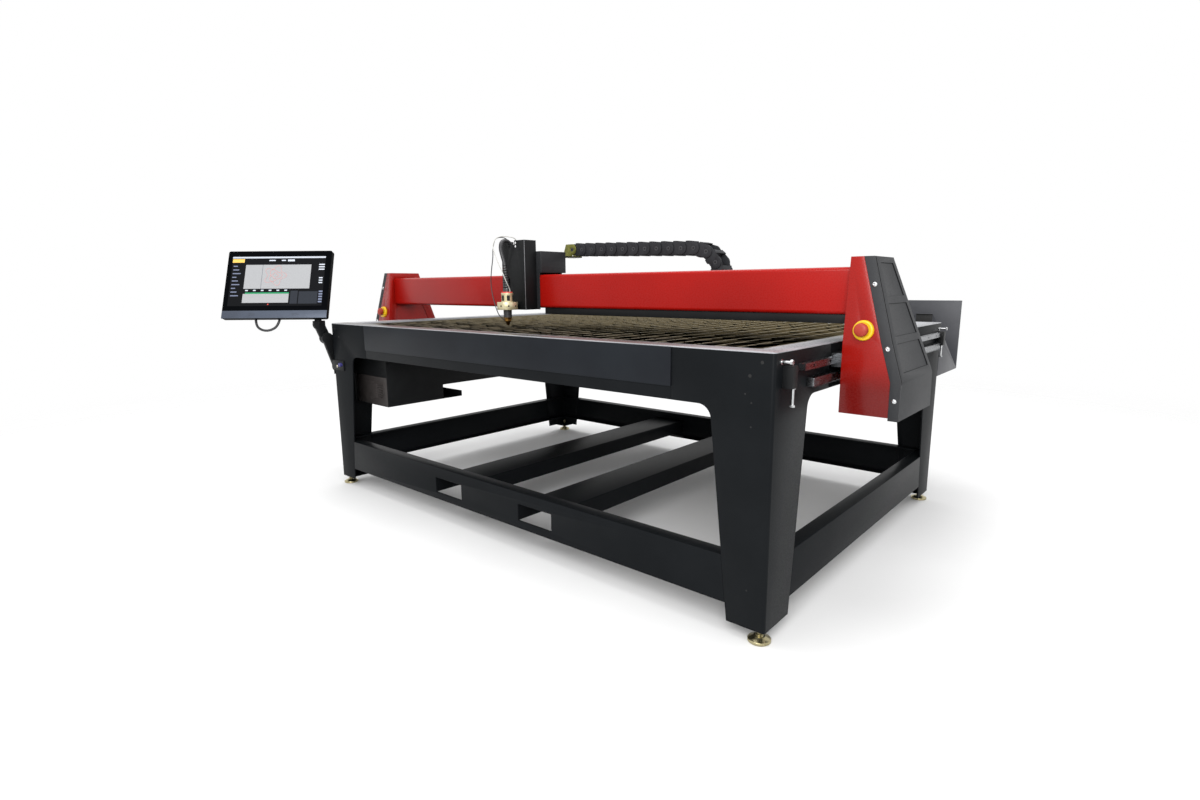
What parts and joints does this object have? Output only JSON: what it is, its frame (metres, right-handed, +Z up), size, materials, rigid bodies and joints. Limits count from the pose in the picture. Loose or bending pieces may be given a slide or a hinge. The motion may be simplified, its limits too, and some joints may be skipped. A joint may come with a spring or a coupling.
{
  "type": "cnc plasma table",
  "caption": "Gantry plasma cutting table with a slat bed, travelling red bridge, torch lifter, cable chain and an operator screen on an arm.",
  "frame": {"origin": "on the floor under the middle of the table frame", "axes": "+X to the operator's right, +Y from the front to the back, +Z up"},
  "size_m": [3.1098, 2.4492, 1.2379],
  "materials": {
    "powder_black": "satin",
    "rim_grey": "satin",
    "grey_sheet": "satin",
    "bed_steel": "scaled",
    "bright_steel": "machined",
    "zinc": "zinc plated",
    "gloss_red": "gloss",
    "cover_grey": "moulded grain",
    "motor_black": "satin",
    "chain_grey": "moulded",
    "olive_zinc": "yellow zinc plated",
    "stop_yellow": "gloss",
    "stop_red": "gloss",
    "holder_cream": "anodised",
    "nozzle_brass": "turned",
    "lead_black": "matte",
    "wire_white": "matte",
    "screen_black": "satin",
    "screen_glass": "gloss"
  },
  "bodies": {
    "frame": {"front_legs": "powder_black", "rear_legs": "powder_black", "long_rails": "powder_black", "side_rails": "powder_black", "front_apron": "powder_black", "top_rim": "rim_grey", "lower_long": "powder_black", "lower_sides": "powder_black", "fork_channels": "powder_black", "slat_combs": "bright_steel", "slats": "bed_steel", "drain_pan": "bright_steel", "guide_rails": "bright_steel", "gear_racks": "bright_steel", "hard_stops": "powder_black", "frame_bolts": "zinc", "rear_tray": "grey_sheet", "control_box": "powder_black", "control_shelf": "powder_black", "arm_bracket": "powder_black"},
    "foot_front_left": {"foot_front_left": "zinc"},
    "foot_front_right": {"foot_front_right": "zinc"},
    "foot_rear_left": {"foot_rear_left": "zinc"},
    "foot_rear_right": {"foot_rear_right": "zinc"},
    "arm_lower": {"arm_lower": "powder_black"},
    "arm_upper": {"arm_upper": "powder_black"},
    "monitor_mount": {"monitor_mount": "powder_black"},
    "monitor": {"monitor_shell": "screen_black", "monitor_screen": "screen_glass", "monitor_cable": "lead_black"},
    "gantry": {"gantry_beam": "gloss_red", "chain_tray": "powder_black", "end_housing_left": "gloss_red", "end_housing_right": "gloss_red", "end_cover_left": "cover_grey", "end_cover_right": "cover_grey", "cover_screws": "zinc", "y_drives": "motor_black", "guide_trucks": "bright_steel", "estop_rings": "stop_yellow", "x_rails": "bright_steel", "chain_lower": "chain_grey"},
    "y_pinions": {"y_pinions": "bright_steel"},
    "estop_left": {"estop_left": "stop_red"},
    "estop_right": {"estop_right": "stop_red"},
    "carriage": {"carriage_plate": "powder_black", "saddle_box": "powder_black", "lifter_housing": "powder_black", "x_drive": "motor_black", "z_drive": "bright_steel", "chain_bracket": "olive_zinc", "chain_upper": "chain_grey"},
    "x_pinion": {"x_pinion": "bright_steel"},
    "chain_bend": {"chain_bend": "chain_grey"},
    "torch": {"torch_holder": "holder_cream", "torch_body": "holder_cream", "torch_nozzle": "nozzle_brass", "torch_lead": "lead_black", "sensor_wire": "wire_white", "ohmic_wire": "lead_black"}
  },
  "joints": [
    {"name": "foot_turn_front_left", "type": "hinge", "parent": "frame", "child": "foot_front_left", "pos_m": [-1.192, -0.817, 0.02], "axis": [0, 0, 1], "continuous": true},
    {"name": "foot_turn_front_right", "type": "hinge", "parent": "frame", "child": "foot_front_right", "pos_m": [1.192, -0.817, 0.02], "axis": [0, 0, 1], "continuous": true},
    {"name": "foot_turn_rear_left", "type": "hinge", "parent": "frame", "child": "foot_rear_left", "pos_m": [-1.192, 0.817, 0.02], "axis": [0, 0, 1], "continuous": true},
    {"name": "foot_turn_rear_right", "type": "hinge", "parent": "frame", "child": "foot_rear_right", "pos_m": [1.192, 0.817, 0.02], "axis": [0, 0, 1], "continuous": true},
    {"name": "arm_lift", "type": "hinge", "parent": "frame", "child": "arm_lower", "pos_m": [-1.23, -0.816, 0.62], "axis": [1, 0, 0], "range_deg": [0, 20]},
    {"name": "arm_elbow", "type": "hinge", "parent": "arm_lower", "child": "arm_upper", "pos_m": [-1.24, -0.862, 0.768], "axis": [1, 0, 0], "range_deg": [-5, 15]},
    {"name": "monitor_swivel", "type": "hinge", "parent": "arm_upper", "child": "monitor_mount", "pos_m": [-1.262, -0.89, 0.858], "axis": [0, 0, 1], "range_deg": [-35, 40]},
    {"name": "monitor_tilt", "type": "hinge", "parent": "monitor_mount", "child": "monitor", "pos_m": [-1.46043, -0.96119, 1.01621], "axis": [0.7547, 0.6561, 0], "range_deg": [-15, 0]},
    {"name": "gantry_travel", "type": "slide", "parent": "frame", "child": "gantry", "axis": [0, 1, 0], "range_m": [-0.215, 0.905]},
    {"name": "y_pinion_turn", "type": "hinge", "parent": "gantry", "child": "y_pinions", "pos_m": [0, -0.317, 0.7087], "axis": [1, 0, 0], "continuous": true},
    {"name": "estop_left_press", "type": "slide", "parent": "gantry", "child": "estop_left", "axis": [0, 0.9941, -0.1087], "range_m": [0, 0.005], "stiffness_N_per_m": 900, "springref_m": -0.004},
    {"name": "estop_right_press", "type": "slide", "parent": "gantry", "child": "estop_right", "axis": [0, 0.9941, -0.1087], "range_m": [0, 0.005], "stiffness_N_per_m": 900, "springref_m": -0.004},
    {"name": "carriage_travel", "type": "slide", "parent": "gantry", "child": "carriage", "axis": [1, 0, 0], "range_m": [-0.95, 1.08]},
    {"name": "x_pinion_turn", "type": "hinge", "parent": "carriage", "child": "x_pinion", "pos_m": [-0.176, -0.319, 0.9937], "axis": [0, 1, 0], "continuous": true},
    {"name": "chain_bend_travel", "type": "slide", "parent": "gantry", "child": "chain_bend", "axis": [1, 0, 0], "range_m": [-0.48, 0.545], "deforming": ["chain_upper", "chain_lower"]},
    {"name": "torch_lift", "type": "slide", "parent": "carriage", "child": "torch", "axis": [0, 0, 1], "range_m": [-0.012, 0.1], "deforming": ["torch_lead", "sensor_wire", "ohmic_wire"]}
  ],
  "couplings": [
    {"joint": "y_pinion_turn", "follows": "gantry_travel", "rad_per_m": 50},
    {"joint": "x_pinion_turn", "follows": "carriage_travel", "rad_per_m": -62.5},
    {"joint": "chain_bend_travel", "follows": "carriage_travel", "ratio": 0.5}
  ]
}
